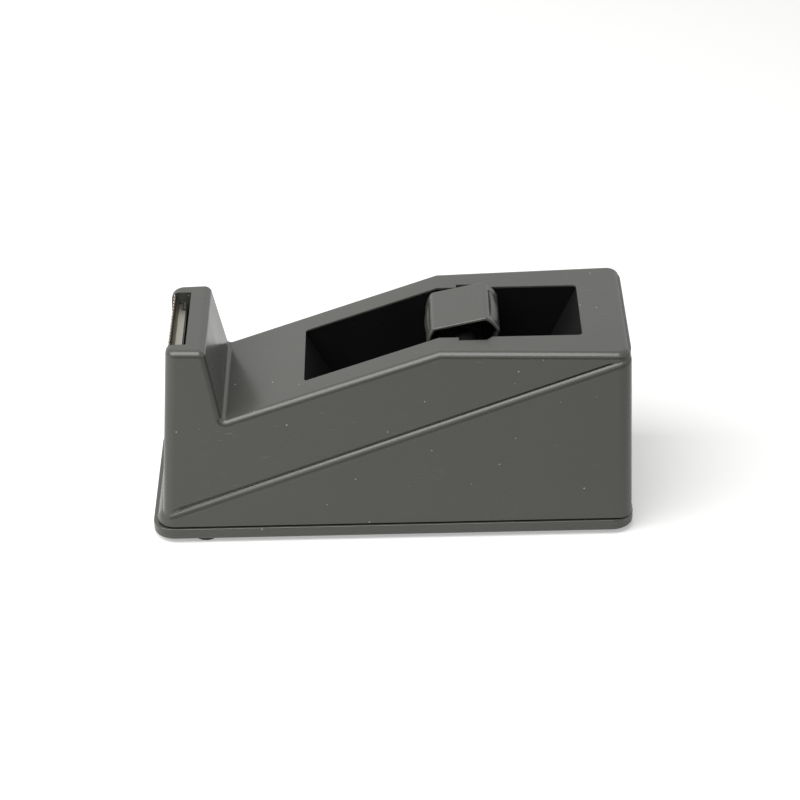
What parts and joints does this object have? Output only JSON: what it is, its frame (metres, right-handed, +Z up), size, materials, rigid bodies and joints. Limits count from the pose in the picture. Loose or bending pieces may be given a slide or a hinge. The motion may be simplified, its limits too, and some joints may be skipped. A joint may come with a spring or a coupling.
{
  "type": "desktop tape dispenser",
  "caption": "Weighted desktop tape dispenser with a toothed cutter on its nose, an open tape well and a lobed hub that turns on an axle lifted out of slanted grooves.",
  "frame": {"origin": "on the table, under the middle of the base plate", "axes": "+Z up, -X the way the cutter's nose points, +X to the rear, -Y the left side"},
  "size_m": [0.15, 0.061, 0.0677],
  "materials": {
    "grey_abs": "satin moulded ABS",
    "hub_abs": "satin moulded ABS",
    "black_abs": "matt moulded ABS",
    "blade_steel": "bare cold-rolled strip",
    "cast_iron": "as cast",
    "zinc_plated_steel": "zinc plated",
    "black_rubber": "matt"
  },
  "bodies": {
    "housing": {"upper_shell": "grey_abs", "tape_well": "black_abs", "base_plate": "grey_abs", "cutter_blade": "blade_steel", "main_ballast": "cast_iron", "front_ballast": "cast_iron", "front_left_screw": "zinc_plated_steel", "front_right_screw": "zinc_plated_steel", "rear_left_screw": "zinc_plated_steel", "rear_right_screw": "zinc_plated_steel", "main_ballast_screw_front": "zinc_plated_steel", "main_ballast_screw_rear": "zinc_plated_steel", "front_ballast_screw_left": "zinc_plated_steel", "front_ballast_screw_right": "zinc_plated_steel", "front_left_foot": "black_rubber", "front_right_foot": "black_rubber", "rear_left_foot": "black_rubber", "rear_right_foot": "black_rubber"},
    "axle": {"hub_axle": "black_abs"},
    "hub": {"hub_barrel": "hub_abs"}
  },
  "joints": [
    {"name": "axle_lift", "type": "slide", "parent": "housing", "child": "axle", "axis": [0.342, 0, 0.9397], "range_m": [0, 0.03]},
    {"name": "hub_spin", "type": "hinge", "parent": "axle", "child": "hub", "pos_m": [0.0234, 0, 0.0577], "axis": [0, 1, 0], "continuous": true}
  ]
}
